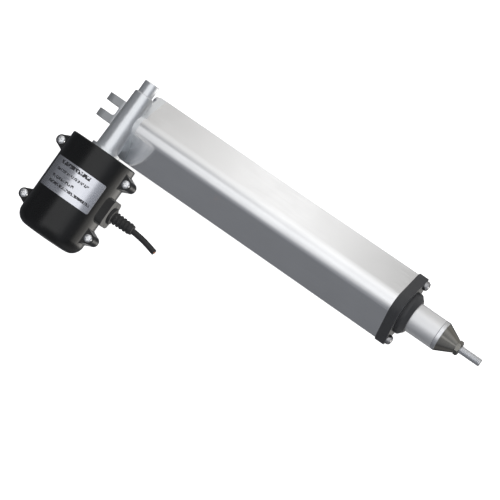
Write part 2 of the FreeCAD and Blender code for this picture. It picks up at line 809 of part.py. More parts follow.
# ---------------------------------------------------------------- lead screw
screw = Piece("lead_screw")
screw.turn(
    [
        (S["slot_floor_x"] + 2, 0),
        (S["slot_floor_x"] + 2, S["journal_r"] - 0.5),
        (S["slot_floor_x"] + 2.5, S["journal_r"]),
        (S["chamber_x"] + 0.5, S["journal_r"]),
        (S["chamber_x"] + 0.5, S["seat_r"]),
        (S["bearing_end_x"], S["seat_r"]),
        (S["bearing_end_x"], S["screw_r"] + 1.4),
        (S["carrier_end_x"] + 0.4, S["screw_r"] + 1.4),
        (S["carrier_end_x"] + 0.4, S["screw_r"]),
        (S["screw_end_x"] - 2, S["screw_r"]),
        (S["screw_end_x"], S["screw_root_r"]),
        (S["screw_end_x"], 0),
    ]
)
groove_outline = screw.sketch()
polygon(
    groove_outline,
    [
        (S["thread_x"] - 0.7, S["screw_root_r"]),
        (S["thread_x"] + 0.7, S["screw_root_r"]),
        (S["thread_x"] + 1.6, S["screw_r"] + 0.2),
        (S["thread_x"] - 1.6, S["screw_r"] + 0.2),
    ],
)
groove = screw.revolve(groove_outline, cut=True)
turns = int((S["screw_end_x"].value - 6 - S["thread_x"].value) / S["lead"].value)
rings = screw.body.newObject("PartDesign::LinearPattern", "lead_screw_rings")
rings.Originals = [groove]
rings.Direction = (screw.origin("X_Axis"), [""])
rings.Occurrences = turns + 1
rings.setExpression("Length", "Sizes.lead * %d" % turns)
screw.body.Tip = rings
screw.done(rings)
wheel_back = S["worm_x"] - S["wheel_face"] * 0.5
keyway = screw.sketch("XY_Plane", S["seat_r"] - S["key_deep"])
rectangle(keyway, wheel_back + 1, -2.5, wheel_back + 11, 2.5)
screw.pocket(keyway, S["key_deep"] + 1, back=True)
screw.turn(
    [
        (wheel_back - 1.1, S["seat_r"] - 0.7),
        (wheel_back, S["seat_r"] - 0.7),
        (wheel_back, S["seat_r"] + 1),
        (wheel_back - 1.1, S["seat_r"] + 1),
    ],
    cut=True,
)
ring("wheel_circlip", wheel_back - 1.1, wheel_back, S["seat_r"] - 0.7, 10)

key = Piece("wheel_key")
key_outline = key.sketch("XY_Plane", S["seat_r"] - S["key_deep"])
rectangle(key_outline, wheel_back + 1, -2.5, wheel_back + 11, 2.5)
key.pad(key_outline, 5)

# ---------------------------------------------------------------- worm wheel
module = S["gear_module"].value
teeth = int(S["wheel_teeth"].value)
pitch_r = module * teeth / 2
pressure = math.radians(20)
lead_slope = module / (2 * S["worm_pitch_r"].value)
tip_r = pitch_r + module
root_r = pitch_r - 1.25 * module
base_r = pitch_r * math.cos(pressure)
wheel_x = wheel_back.value


def involute(radius):
    """The angle that an involute has turned through at a radius."""
    if radius <= base_r:
        return 0.0
    at = math.acos(base_r / radius)
    return math.tan(at) - at


half_tooth = (math.pi * module / 2 - S["flank_play"].value) / (2 * pitch_r)
flank_radii = [root_r, base_r + 0.2, pitch_r, (pitch_r + tip_r) / 2, tip_r]


def wheel_outline(x, turned):
    """The wheel's closed outline at x; a tooth gap faces +Z when turned is 0."""
    points = []
    for number in range(teeth):
        middle = (number + 0.5) * 2 * math.pi / teeth + turned
        for side in (-1, 1):
            radii = flank_radii if side < 0 else flank_radii[::-1]
            for radius in radii:
                angle = middle + side * (half_tooth + involute(pitch_r) - involute(radius))
                points.append(Vector(x, -radius * math.sin(angle), radius * math.cos(angle)))
    return Part.makePolygon(points + points[:1])


slope = lead_slope / pitch_r
half_twist = slope * S["wheel_face"].value / 2
rough_wheel = Part.makeLoft(
    [
        wheel_outline(wheel_x, -half_twist),
        wheel_outline(wheel_x + S["wheel_face"].value, half_twist),
    ],
    True,
    True,
)
hub = Part.makeCylinder(10, S["bearing_x"].value - wheel_x, Vector(wheel_x, 0, 0), Vector(1, 0, 0))
seat = Part.makeCylinder(S["seat_r"].value, 40, Vector(0, 0, 0), Vector(1, 0, 0))
hub_keyway = Part.makeBox(20, 5, 5, Vector(wheel_x, -2.5, S["seat_r"].value - S["key_deep"].value))
web = Part.makeCylinder(15, 3, Vector(wheel_x, 0, 0), Vector(1, 0, 0)).cut(
    Part.makeCylinder(10.8, 3, Vector(wheel_x, 0, 0), Vector(1, 0, 0))
)
wheel = doc.addObject("Part::Feature", "worm_wheel")
wheel.Shape = rough_wheel.fuse(hub).cut(seat).cut(hub_keyway).cut(web).removeSplitter()
NODES.append(wheel)

# ---------------------------------------------------------------- worm shaft
worm_lead = math.pi * module
worm_tip_r = S["worm_pitch_r"].value + module
worm_root_r = S["worm_pitch_r"].value - 1.25 * module
half_thread = (worm_lead / 2 - S["flank_play"].value) / 2


def thread_half(radius):
    return half_thread - (radius - S["worm_pitch_r"].value) * math.tan(pressure)


inner_r = worm_root_r - 0.3
thread_turns = int(S["worm_length"].value / worm_lead) + 2
start_z = -(thread_turns / 2 + 0.25) * worm_lead
spine = Part.makeHelix(worm_lead, thread_turns * worm_lead, S["worm_pitch_r"].value)
spine.translate(Vector(0, 0, start_z))
thread_section = Part.makePolygon(
    [
        Vector(inner_r, 0, start_z - thread_half(inner_r)),
        Vector(worm_tip_r, 0, start_z - thread_half(worm_tip_r)),
        Vector(worm_tip_r, 0, start_z + thread_half(worm_tip_r)),
        Vector(inner_r, 0, start_z + thread_half(inner_r)),
        Vector(inner_r, 0, start_z - thread_half(inner_r)),
    ]
)
thread = Part.Wire(spine.Edges).makePipeShell([thread_section], True, True)
clip = Part.makeCylinder(
    worm_tip_r + 1, S["worm_length"].value, Vector(0, 0, -S["worm_length"].value / 2)
)
worm_core = Part.makeCylinder(
    worm_root_r, S["worm_length"].value, Vector(0, 0, -S["worm_length"].value / 2)
)
worm = thread.common(clip).fuse(worm_core)
# the worm is made along Z, and this lays it along Y so that local +Y faces the wheel
worm.Placement = Placement(
    Vector(S["worm_x"].value, 0, S["worm_z"].value), Rotation(Vector(1, 0, 0), -90)
)


def shaft_outline():
    """(distance along the motor axis, radius) from the far end of the tunnel to the motor's end."""
    upper, lower = -33.5, S["can_end_a"].value + 1
    root = worm_root_r
    return [
        (upper, 0),
        (upper, S["shaft_tip_r"].value - 0.4),
        (upper + 0.4, S["shaft_tip_r"].value),
        (-28.5, S["shaft_tip_r"].value),
        (-28.5, 4.5),
        (-13, 4.5),
        (-13, root),
        (26.5, root),
        (26.5, S["shaft_r"].value),
        (118, S["shaft_r"].value),
        (118, S["shaft_tip_r"].value),
        (lower, S["shaft_tip_r"].value),
        (lower, 0),
    ]


shaft_wire = Part.makePolygon([Vector(a, r, 0) for a, r in shaft_outline() + shaft_outline()[:1]])
shaft = Part.Face(shaft_wire).revolve(Vector(0, 0, 0), Vector(1, 0, 0), 360)
shaft.Placement = along_motor()
worm_shaft = doc.addObject("Part::Feature", "worm_shaft")
worm_shaft.Shape = shaft.fuse(worm)
NODES.append(worm_shaft)

sealed_bearing("worm_upper_bearing", -33, -29, S["shaft_tip_r"] + S["play"], 6, True)
sealed_bearing("worm_lower_bearing", 27, 33, S["shaft_r"] + S["play"], 9.5, True)
end_plug = Piece("worm_end_plug", True)
end_plug.turn(
    [
        (-S["boss_end_y"], 0),
        (-S["boss_end_y"], 5.4),
        (-S["boss_end_y"] + 0.6, 6),
        (-S["boss_end_y"] + 4, 6),
        (-S["boss_end_y"] + 4, 4.5),
        (-S["boss_end_y"] + 1.5, 4.5),
        (-S["boss_end_y"] + 1.5, 0),
    ]
)

# ---------------------------------------------------------------- motor
can_inner_r = S["can_r"] - S["can_wall"]
can = Piece("motor_can", True)
can.turn(
    [
        (S["can_a"], can_inner_r),
        (S["can_a"], S["can_r"]),
        (S["can_end_a"] - 3, S["can_r"]),
        (S["can_end_a"], S["can_r"] - 3),
        (S["can_end_a"], 6),
        (S["can_end_a"] - 2, 6),
        (S["can_end_a"] - 2, can_inner_r),
    ]
)
front_plate = Piece("motor_front_plate", True)
front_plate.turn(
    [
        (S["motor_face"], 6),
        (S["can_a"], 6),
        (S["can_a"], S["can_r"]),
        (S["motor_face"] + 0.8, S["can_r"]),
        (S["motor_face"], S["can_r"] - 0.8),
    ]
)
plate_holes = front_plate.sketch("YZ_Plane", S["motor_face"] - 1)
for sign in (1, -1):
    circle(plate_holes, sign * 12.5, 0, 1.9)
front_plate.pocket(plate_holes, 6, back=True)


def mount_screw(number, sign):
    piece = Piece("mount_screw_%d" % number, True, node=False)
    piece.turn(
        [
            (S["motor_face"] - 4.6, 0),
            (S["motor_face"] - 4.6, 1.9),
            (S["can_a"], 1.9),
            (S["can_a"], 3.2),
            (S["can_a"] + 1.6, 3.2),
            (S["can_a"] + 2.4, 2),
            (S["can_a"] + 2.4, 0),
        ]
    )
    piece.body.setExpression("Placement.Base.x", "Sizes.worm_x + %g" % (sign * 12.5))
    doc.recompute()
    return piece.body


group("motor_mount_screws", [mount_screw(1, 1), mount_screw(2, -1)])
ring("motor_rear_bush", S["can_end_a"] - 4.5, S["can_end_a"], S["shaft_tip_r"] + S["play"], 6, True)


def magnet(number):
    piece = Piece("magnet_%d" % number, True, node=False)
    outline = piece.sketch()
    rectangle(outline, 56, 25.5, 104, can_inner_r)
    piece.revolve(outline, 130, mid=True)
    turned = Rotation(Vector(0, 0, 1), -90) * Rotation(Vector(1, 0, 0), 180 * number)
    piece.body.Placement = Placement(piece.body.Placement.Base, turned)
    doc.recompute()
    return piece.body


group("motor_magnets", [magnet(0), magnet(1)])

core = Piece("armature_core", True)
core.turn([(60, S["shaft_r"]), (60, 24.8), (100, 24.8), (100, S["shaft_r"])])
slot_outline = core.sketch("YZ_Plane", 59)
rectangle(slot_outline, -2.2, 13, 2.2, 23.4)
first_slot = core.pocket(slot_outline, 42, back=True)
core.polar(first_slot, 12)
mouth = core.sketch("YZ_Plane", 59)
rectangle(mouth, -0.9, 23, 0.9, 26)
first_mouth = core.pocket(mouth, 42, back=True)
core.polar(first_mouth, 12)

windings = Piece("armature_windings", True)
for near, far in ((53.5, 60), (106.5, 100)):
    step = 2 if far > near else -2
    windings_end = windings.sketch()
    polygon(
        windings_end, [(near, 14.5), (near, 20.5), (near + step, 22.5), (far, 23.4), (far, 13)]
    )
    if near < 100:
        windings.revolve(windings_end)
        bar = windings.sketch("YZ_Plane", 60)
        rectangle(bar, -2.2, 13, 2.2, 23.4)
        first_bar = windings.pad(bar, 40)
        windings.polar(first_bar, 12)
    else:
        windings.revolve(windings_end)

commutator = Piece("commutator", True)
commutator.turn(
    [(107.5, S["shaft_r"]), (107.5, 9.6), (108.7, 9.6), (108.7, 9), (116, 9), (116, S["shaft_r"])]
)
slit = commutator.sketch("YZ_Plane", 107)
rectangle(slit, -0.3, 8, 0.3, 10)
first_slit = commutator.pocket(slit, 10, back=True)
commutator.polar(first_slit, 12)

brush_plate = Piece("brush_plate", True)
brush_plate.turn([(117, 5), (117, can_inner_r), (119, can_inner_r), (119, 5)])
for sign in (1, -1):
    holder = brush_plate.sketch("YZ_Plane", 117)
    rectangle(holder, -4, sign * 10.5, 4, sign * 19)
    brush_plate.pad(holder, 8, back=True)
    window = brush_plate.sketch("YZ_Plane", 115)
    rectangle(window, -2.5, sign * 10, 2.5, sign * 17.5)
    brush_plate.pocket(window, 4.5)


def brush(number, sign):
    piece = Piece("brush_%d" % number, True, node=False)
    section = piece.sketch("YZ_Plane", 110.5)
    rectangle(section, -2.5, sign * 9.05, 2.5, sign * 17.5)
    piece.pad(section, 4.5)
    return piece.body


group("brushes", [brush(1, 1), brush(2, -1)])

# ---------------------------------------------------------------- motor cover
cover_inner_r = S["cover_r"] - S["cover_wall"]


def cover_half(label, way):
    """Half of the motor cover: way is 1 for the half that faces +Z, and -1 for the other."""
    piece = Piece(label, True)
    front = way > 0
    outline = piece.sketch()
    polygon(
        outline,
        [
            (S["cover_a"], S["foot_r"] + 0.2),
            (S["cover_a"], S["cover_r"] - 1),
            (S["cover_a"] + 1, S["cover_r"]),
            (S["cover_end_a"], S["cover_r"]),
            (S["cover_end_a"], 0),
            (S["cover_end_a"] - S["cover_wall"], 0),
            (S["cover_a"] + S["cover_wall"], 0),
            (S["cover_a"] + S["cover_wall"], S["foot_r"] + 0.2),
        ],
    )
    piece.revolve(outline, 180, back=not front)
    piece.round_edges(
        lambda edge: abs(edge.BoundBox.XMin - S["cover_end_a"].value) < 0.01
        and edge.BoundBox.ZLength > 1,
        S["cover_round"],
    )
    for side in (1, -1):
        for along in (S["lug_a1"], S["lug_a2"]):
            web = piece.sketch()
            polygon(
                web,
                [
                    (along - 9, side * S["cover_r"] - side * 3.5),
                    (along - S["lug_r"] * 0.8, side * S["lug_b"] + side * 3.3),
                    (along + S["lug_r"] * 0.8, side * S["lug_b"] + side * 3.3),
                    (along + 9, side * S["cover_r"] - side * 3.5),
                ],
            )
            piece.pad(web, S["lug_high"], back=not front)
            post = piece.sketch()
            circle(post, along, side * S["lug_b"], S["lug_r"])
            piece.pad(post, S["lug_high"], back=not front)
    gland = piece.sketch("XZ_Plane", -S["gland_b"])
    polygon(
        gland,
        [
            (S["gland_a"] - S["gland_r"], 0),
            (S["gland_a"] + S["gland_r"], 0),
            (S["gland_a"] + S["gland_r"], way * (S["gland_r"] - 5)),
            (S["gland_a"] + S["gland_r"] - 1.5, way * (S["gland_r"] - 1.5)),
            (S["gland_a"] + S["gland_r"] - 5, way * S["gland_r"]),
            (S["gland_a"] - S["gland_r"] + 5, way * S["gland_r"]),
            (S["gland_a"] - S["gland_r"] + 1.5, way * (S["gland_r"] - 1.5)),
            (S["gland_a"] - S["gland_r"], way * (S["gland_r"] - 5)),
        ],
    )
    piece.pad(gland, 15)
    cavity = piece.sketch()
    polygon(
        cavity,
        [
            (S["cover_a"] + S["cover_wall"], 0),
            (S["cover_a"] + S["cover_wall"], cover_inner_r),
            (S["cover_end_a"] - S["cover_round"], cover_inner_r),
            (S["cover_end_a"] - S["cover_round"] * 0.62, cover_inner_r - 1.6),
            (S["cover_end_a"] - S["cover_round"] * 0.32, cover_inner_r - 5.4),
            (S["cover_end_a"] - S["cover_wall"], cover_inner_r - S["cover_round"]),
            (S["cover_end_a"] - S["cover_wall"], 0),
        ],
    )
    piece.revolve(cavity, 360, cut=True)
    holes = piece.sketch("XY_Plane", way * (S["lug_high"] + 1))
    for side in (1, -1):
        for along in (S["lug_a1"], S["lug_a2"]):
            circle(holes, along, side * S["lug_b"], 2)
    piece.pocket(holes, S["lug_high"] + 2, back=not front)
    outlet = piece.sketch("XZ_Plane", -S["gland_b"])
    circle(outlet, S["gland_a"], 0, 6)
    piece.pocket(outlet, 12, back=True)
    return piece


cover_half("motor_cover_front", 1)
cover_half("motor_cover_rear", -1)


def cover_screw(number, side, along):
    """A pan-head screw with a cross recess through one pair of posts, its head on the +Z side."""
    piece = Piece("cover_screw_%d" % number, node=False)
    head = S["lug_high"]
    piece.turn(
        [
            (-head + 1.5, 0),
            (-head + 1.5, 1.3),
            (-head + 2.5, 2),
            (head, 2),
            (head, 4),
            (head + 1.2, 4),
            (head + 2.2, 3.4),
            (head + 2.8, 2.2),
            (head + 2.8, 0),
        ]
    )
    recess = piece.sketch("YZ_Plane", head + 2.8)
    long, thin = 1.9, 0.4
    corners = [(long, thin), (thin, thin), (thin, long)]
    corners += [(-y, x) for x, y in corners]
    corners += [(-x, -y) for x, y in corners]
    polygon(recess, corners)
    piece.pocket(recess, 1.3)
    piece.body.Placement = Placement(
        Vector(S["worm_x"].value + side * S["lug_b"].value, -S[along].value, S["worm_z"].value),
        Rotation(Vector(0, 1, 0), -90),
    )
    piece.body.setExpression("Placement.Base.x", "Sizes.worm_x + %d * Sizes.lug_b" % side)
    piece.body.setExpression("Placement.Base.y", "-Sizes." + along)
    piece.body.setExpression("Placement.Base.z", "Sizes.worm_z")
    doc.recompute()
    return piece.body


group(
    "motor_cover_screws",
    [
        cover_screw(1, 1, "lug_a1"),
        cover_screw(2, -1, "lug_a1"),
        cover_screw(3, 1, "lug_a2"),
        cover_screw(4, -1, "lug_a2"),
    ],
)

nameplate = Piece("nameplate", True)
strip = nameplate.sketch("XZ_Plane")
rectangle(
    strip, S["label_a1"], S["cover_r"], S["label_a2"], S["cover_r"] + S["label_thick"]
)
nameplate.revolve(strip, S["label_half_angle"] * 2, mid=True)
nameplate.round_edges(
    lambda edge: edge.BoundBox.XLength < 0.01 and edge.Length < 0.5, 2
)

# ---------------------------------------------------------------- cable
relief = Piece("cable_strain_relief")
relief.body.Placement = Placement(
    Vector(S["worm_x"].value, -S["gland_a"].value, S["worm_z"].value), Rotation()
)
relief.body.setExpression("Placement.Base.x", "Sizes.worm_x")
relief.body.setExpression("Placement.Base.y", "-Sizes.gland_a")
relief.body.setExpression("Placement.Base.z", "Sizes.worm_z")
relief_points = [
    (S["gland_b"] - 6, S["cable_r"]),
    (S["gland_b"] - 6, 6),
    (S["gland_b"], 6),
    (S["gland_b"], 8.4),
    (S["gland_b"] + 0.6, 8.9),
    (S["gland_b"] + 2.6, 8.9),
    (S["gland_b"] + 3.4, 8),
    (S["gland_b"] + 3.4, 5.2),
]
for number in range(5):
    rib = S["gland_b"] + 5.4 + number * 4
    high = 6.3 - number * 0.15
    relief_points += [(rib, 5.2), (rib + 0.5, high), (rib + 2, high), (rib + 2.5, 5.2)]
relief_points += [(S["relief_b"] + 0.4, 4.9), (S["relief_b"] + 0.4, S["cable_r"])]
relief.turn(relief_points)

cable_points = [
    Vector(68, -85, 25),
    Vector(84, -84.9, 25),
    Vector(100, -85.6, 25),
    Vector(113, -87.4, 25),
    Vector(124, -90.2, 25),
]


def rounded_route(points):
    """The edges of a route whose corners are tangent arcs, and the radii of those arcs."""
    edges, radii = [], []
    at = points[0]
    for before, corner, after in zip(points, points[1:], points[2:]):
        back, ahead = (before - corner).normalize(), (after - corner).normalize()
        run = min((before - corner).Length, (after - corner).Length)
        cut = 0.45 * run
        half_turn = (math.pi - back.getAngle(ahead)) / 2
        radius = cut / math.tan(half_turn)
        start, end = corner + back * cut, corner + ahead * cut
        bisector = (back + ahead).normalize()
        centre = corner + bisector * (radius / math.cos(half_turn))
        middle = centre - bisector * radius
        edges.append(Part.LineSegment(at, start).toShape())
        edges.append(Part.Arc(start, middle, end).toShape())
        radii.append(radius)
        at = end
    edges.append(Part.LineSegment(at, points[-1]).toShape())
    return edges, radii


cable_edges, cable_radii = rounded_route(cable_points)
route = Part.Wire(cable_edges)
heading = cable_points[1] - cable_points[0]
section = Part.Wire([Part.makeCircle(S["cable_r"].value, cable_points[0], heading)])
cable = doc.addObject("Part::Feature", "power_cable")
cable.Shape = route.makePipeShell([section], True, False)
NODES.append(cable)
plain = math.pi * S["cable_r"].value ** 2 * route.Length
print(
    "cable: length %.1f, radii %s, volume %.0f of %.0f"
    % (route.Length, [round(r) for r in cable_radii], cable.Shape.Volume, plain)
)

# ---------------------------------------------------------------- check and export
doc.recompute()
os.makedirs("parts", exist_ok=True)
for node in NODES:
    shape = node.Shape
    if "Invalid" in node.State or "Error" in node.State or shape.isNull() or not shape.isValid():
        raise RuntimeError("%s did not build" % node.Label)
    shape.exportStep("parts/%s.step" % node.Label)
    box = shape.BoundBox
    print(
        "%-22s %d solid(s) %9.0f mm3  x %.1f..%.1f  y %.1f..%.1f  z %.1f..%.1f"
        % (
            node.Label,
            len(shape.Solids),
            shape.Volume,
            box.XMin,
            box.XMax,
            box.YMin,
            box.YMax,
            box.ZMin,
            box.ZMax,
        )
    )
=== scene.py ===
"""The linear actuator's looks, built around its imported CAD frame."""
import json
import math

import bmesh
import bpy
from mathutils import Matrix, Vector


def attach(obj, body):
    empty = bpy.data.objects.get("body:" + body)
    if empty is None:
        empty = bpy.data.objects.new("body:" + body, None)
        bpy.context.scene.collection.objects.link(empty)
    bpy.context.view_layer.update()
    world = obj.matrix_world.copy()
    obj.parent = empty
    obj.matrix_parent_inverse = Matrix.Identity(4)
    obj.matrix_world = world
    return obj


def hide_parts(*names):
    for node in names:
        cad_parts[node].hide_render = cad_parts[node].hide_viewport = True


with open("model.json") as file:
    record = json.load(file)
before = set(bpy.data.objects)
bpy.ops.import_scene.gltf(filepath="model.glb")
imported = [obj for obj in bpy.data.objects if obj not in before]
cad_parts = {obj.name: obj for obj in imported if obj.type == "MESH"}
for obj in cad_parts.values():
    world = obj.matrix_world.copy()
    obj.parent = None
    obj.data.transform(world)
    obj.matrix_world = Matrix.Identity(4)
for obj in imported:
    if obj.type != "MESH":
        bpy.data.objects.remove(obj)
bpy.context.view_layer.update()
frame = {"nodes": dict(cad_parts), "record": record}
nodes = frame["nodes"]
MM = 0.001

# the motor's axis runs along -Y from here
WORM_X = 27 * MM
WORM_Z = 25 * MM
COVER_R = 35.5 * MM
# the ears' painted shade, rougher gloss and pits fade out between these two distances from the pin
EARS_END_X = 8 * MM
BODY_START_X = 12 * MM

# a camera about 2 m away: where it stands, the way back from what it looks at, and its up side
LENS = 150
CAMERA_PLACE = (0.62155, -0.07023, 1.93121)
CAMERA_BACK = (0.2167, -0.01736, 0.97608)
CAMERA_UP = (-0.55817, 0.81809, 0.13847)


# the cable's route, which starts inside the strain relief
CABLE_ROUTE = [
    (0.068, -0.085, 0.025),
    (0.084, -0.0849, 0.025),
    (0.100, -0.0856, 0.025),
    (0.113, -0.0874, 0.025),
    (0.124, -0.0902, 0.025),
]
CABLE_R = 3 * MM


# ---------------------------------------------------------------- objects
def add_object(name, data):
    made = bpy.data.objects.new(name, data)
    bpy.context.collection.objects.link(made)
    return made


def from_bmesh(name, bm):
    mesh = bpy.data.meshes.new(name)
    bm.to_mesh(mesh)
    bm.free()
    return add_object(name, mesh)


def nurbs(name, points, radius):
    """A tube along one smooth spline."""
    curve = bpy.data.curves.new(name, "CURVE")
    curve.dimensions = "3D"
    curve.resolution_u = 24
    curve.bevel_depth = radius
    curve.bevel_resolution = 8
    curve.use_fill_caps = True
    spline = curve.splines.new("NURBS")
    spline.points.add(len(points) - 1)
    for point, place in zip(spline.points, points):
        point.co = (*place, 1)
    spline.order_u = 3
    spline.use_endpoint_u = True
    return add_object(name, curve)


def add_camera():
    """A long lens above the front side, turned so that the rod points down to the right."""
    data = bpy.data.cameras.new("camera")
    data.lens = LENS
    data.sensor_width = 36
    data.clip_start = 0.05
    data.clip_end = 50
    camera = add_object("camera", data)
    back = Vector(CAMERA_BACK).normalized()
    right = Vector(CAMERA_UP).cross(back).normalized()
    up = back.cross(right)
    turn = Matrix((right, up, back)).transposed()
    camera.matrix_world = Matrix.Translation(CAMERA_PLACE) @ turn.to_4x4()
    bpy.context.scene.camera = camera


add_camera()
cable = nurbs("power_cable_jacket", CABLE_ROUTE, CABLE_R)


# ---------------------------------------------------------------- materials
class Tree:
    """A material under construction: small helpers around its node tree."""

    def __init__(self, name):
        self.material = bpy.data.materials.new(name)
        self.material.use_nodes = True
        self.tree = self.material.node_tree
        self.tree.nodes.clear()
        self.place = self.add("TexCoord").outputs["Object"]

    def add(self, kind, **settings):
        made = self.tree.nodes.new("ShaderNode" + kind)
        for name, value in settings.items():
            setattr(made, name, value)
        return made

    def plug(self, value, socket):
        if isinstance(value, bpy.types.NodeSocket):
            self.tree.links.new(value, socket)
        else:
            socket.default_value = value

    def math(self, operation, *values):
        made = self.add("Math", operation=operation)
        for socket, value in zip(made.inputs, values):
            self.plug(value, socket)
        return made.outputs[0]

    def noise(self, scale, detail=3.0, stretch=(1, 1, 1), offset=0.0):
        """Noise of 0 to 1 whose cells are about 1/scale of a metre, divided by stretch."""
        mapping = self.add("Mapping")
        mapping.inputs["Scale"].default_value = stretch
        mapping.inputs["Location"].default_value = (offset, offset * 0.7, offset * 1.3)
        self.plug(self.place, mapping.inputs["Vector"])
        made = self.add("TexNoise")
        made.inputs["Scale"].default_value = scale
        made.inputs["Detail"].default_value = detail
        self.plug(mapping.outputs[0], made.inputs["Vector"])
        return made.outputs["Fac"]

    def spread(self, value, low, high, to_low, to_high):
        made = self.add("MapRange")
        for name, number in (
            ("Value", value),
            ("From Min", low),
            ("From Max", high),
            ("To Min", to_low),
            ("To Max", to_high),
        ):
            self.plug(number, made.inputs[name])
        return made.outputs[0]

    def blend(self, amount, first, second):
        made = self.add("Mix", data_type="RGBA")
        self.plug(amount, made.inputs["Factor"])
        self.plug(first, made.inputs["A"])
        self.plug(second, made.inputs["B"])
        return made.outputs["Result"]

    def edges(self, radius):
        """1 on edges sharper than the radius, 0 on open surfaces."""
        bevel = self.add("Bevel", samples=4)
        bevel.inputs["Radius"].default_value = radius
        true = self.add("NewGeometry").outputs["Normal"]
        dot = self.add("VectorMath", operation="DOT_PRODUCT")
        self.plug(bevel.outputs[0], dot.inputs[0])
        self.plug(true, dot.inputs[1])
        return self.spread(dot.outputs["Value"], 0.98, 0.85, 0.0, 1.0)

    def relief(self, height, distance, strength=1.0, below=None):
        made = self.add("Bump")
        self.plug(strength, made.inputs["Strength"])
        made.inputs["Distance"].default_value = distance
        self.plug(height, made.inputs["Height"])
        if below is not None:
            self.plug(below, made.inputs["Normal"])
        return made.outputs[0]

    def finish(self, **values):
        shader = self.add("BsdfPrincipled")
        for name, value in values.items():
            self.plug(value, shader.inputs[name.replace("_", " ")])
        out = self.add("OutputMaterial")
        self.tree.links.new(shader.outputs[0], out.inputs["Surface"])
        return self.material


def rgba(color, factor=1.0):
    return tuple(min(1.0, c * factor) for c in color) + (1.0,)


def metal(
    name,
    color,
    rough,
    grain=(1, 1, 1),
    fine=900,
    bump=0.00002,
    vary=0.08,
    worn=None,
    shade_and_pit_ears=False,
    sheen=1.0,
):
    """Metal with a grain stretched by 1/grain, uneven gloss, and edges worn to a lighter colour.

    When asked, it paints shade on the ears as a darker colour, and makes them rougher and pitted.
    """
    t = Tree(name)
    cloud = t.noise(28, 3)
    lines = t.noise(fine, 4, grain, 3.0)
    tone = t.spread(t.math("ADD", cloud, lines), 0.7, 1.3, 1 - vary, 1 + vary)
    mixed = t.blend(
        t.spread(tone, 1 - vary, 1 + vary, 0, 1), rgba(color, 1 - vary), rgba(color, 1 + vary)
    )
    if worn:
        edge = t.math("MULTIPLY", t.edges(0.0005), t.spread(t.noise(300), 0.35, 0.6, 0.2, 1.0))
        mixed = t.blend(edge, mixed, rgba(worn))
    gloss = t.spread(t.math("ADD", cloud, lines), 0.7, 1.3, rough * 0.82, rough * 1.18)
    normal = t.relief(lines, bump)
    if shade_and_pit_ears:
        split = t.add("SeparateXYZ")
        t.plug(t.place, split.inputs[0])
        ear_shade_and_pits = t.spread(split.outputs["X"], EARS_END_X, BODY_START_X, 1.0, 0.0)
        pits = t.noise(420, 2, (1, 1, 1), 7.0)
        # painted shade: the ears' colour is darkened, fading out towards the housing's body
        mixed = t.blend(t.math("MULTIPLY", ear_shade_and_pits, 0.55), mixed, rgba(color, 0.35))
        gloss = t.math("MULTIPLY_ADD", ear_shade_and_pits, 0.3, gloss)
        normal = t.relief(pits, bump * 4, t.math("MULTIPLY_ADD", ear_shade_and_pits, 0.4, 0.4), normal)
    return t.finish(Base_Color=mixed, Metallic=sheen, Roughness=gloss, Normal=normal)


def plastic(name, color, rough, fine=1500, bump=0.00003, vary=0.15, worn=None, sheen=0.5):
    """Moulded plastic or rubber with a fine texture and scuffed edges."""
    t = Tree(name)
    cloud = t.noise(35, 4)
    pores = t.noise(fine, 3, (1, 1, 1), 2.0)
    mixed = t.blend(cloud, rgba(color, 1 - vary), rgba(color, 1 + vary))
    if worn:
        edge = t.math("MULTIPLY", t.edges(0.0006), t.spread(t.noise(240), 0.4, 0.65, 0.1, 0.8))
        mixed = t.blend(edge, mixed, rgba(worn))
    gloss = t.spread(t.math("ADD", cloud, pores), 0.7, 1.3, rough * 0.85, rough * 1.15)
    return t.finish(
        Base_Color=mixed,
        Metallic=0.0,
        Roughness=gloss,
        Specular_IOR_Level=sheen,
        Normal=t.relief(pores, bump),
    )


SLOTS = {
    # the die cast housing's ears get painted shade, a rougher gloss and pits
    "cast_aluminium": metal(
        "die_cast_aluminium", (0.74, 0.76, 0.78), 0.34, fine=700, vary=0.04, shade_and_pit_ears=True, sheen=0.88
    ),
    "anodised_aluminium": metal(
        "extruded_aluminium", (0.75, 0.755, 0.765), 0.19, (0.03, 1, 1), 1400, 0.000001, 0.02
    ),
    "cap_plastic": plastic("cap_plastic", (0.030, 0.031, 0.034), 0.45, worn=(0.12, 0.12, 0.12)),
    "cover_plastic": plastic(
        "cover_plastic", (0.003, 0.0032, 0.0036), 0.30, worn=(0.02, 0.02, 0.022), sheen=0.42
    ),
    "rubber": plastic("rubber", (0.014, 0.014, 0.015), 0.55, 900, 0.00005),
    "white_plastic": plastic("white_plastic", (0.78, 0.78, 0.75), 0.4, vary=0.04),
    "rod_steel": metal(
        "rod_steel", (0.76, 0.765, 0.775), 0.36, (0.25, 1, 1), 1600, 0.000003, 0.02, sheen=0.9
    ),
    "dark_steel": metal(
        "dark_steel",
        (0.195, 0.19, 0.175),
        0.16,
        (1, 0.03, 0.03),
        2600,
        0.00003,
        0.1,
        worn=(0.4, 0.4, 0.38),
    ),
    "zinc_steel": metal("zinc_steel", (0.72, 0.73, 0.75), 0.22, fine=1500, vary=0.08),
    "dull_zinc": metal("dull_zinc", (0.34, 0.34, 0.35), 0.2, fine=1500, vary=0.08),
    "black_steel": metal("black_oxide_steel", (0.06, 0.06, 0.062), 0.25, worn=(0.35, 0.35, 0.36)),
    "bearing_steel": metal("bearing_steel", (0.62, 0.63, 0.65), 0.2, (0.2, 1, 1), 1500),
    "bronze": metal("bronze", (0.62, 0.42, 0.18), 0.28, worn=(0.8, 0.6, 0.3)),
    "copper": metal("copper", (0.70, 0.30, 0.14), 0.3),
    "ferrite": plastic("ferrite", (0.05, 0.05, 0.052), 0.5),
    "circuit_board": plastic("circuit_board", (0.02, 0.16, 0.06), 0.35),
    "carbon": plastic("carbon", (0.03, 0.03, 0.03), 0.5),
}


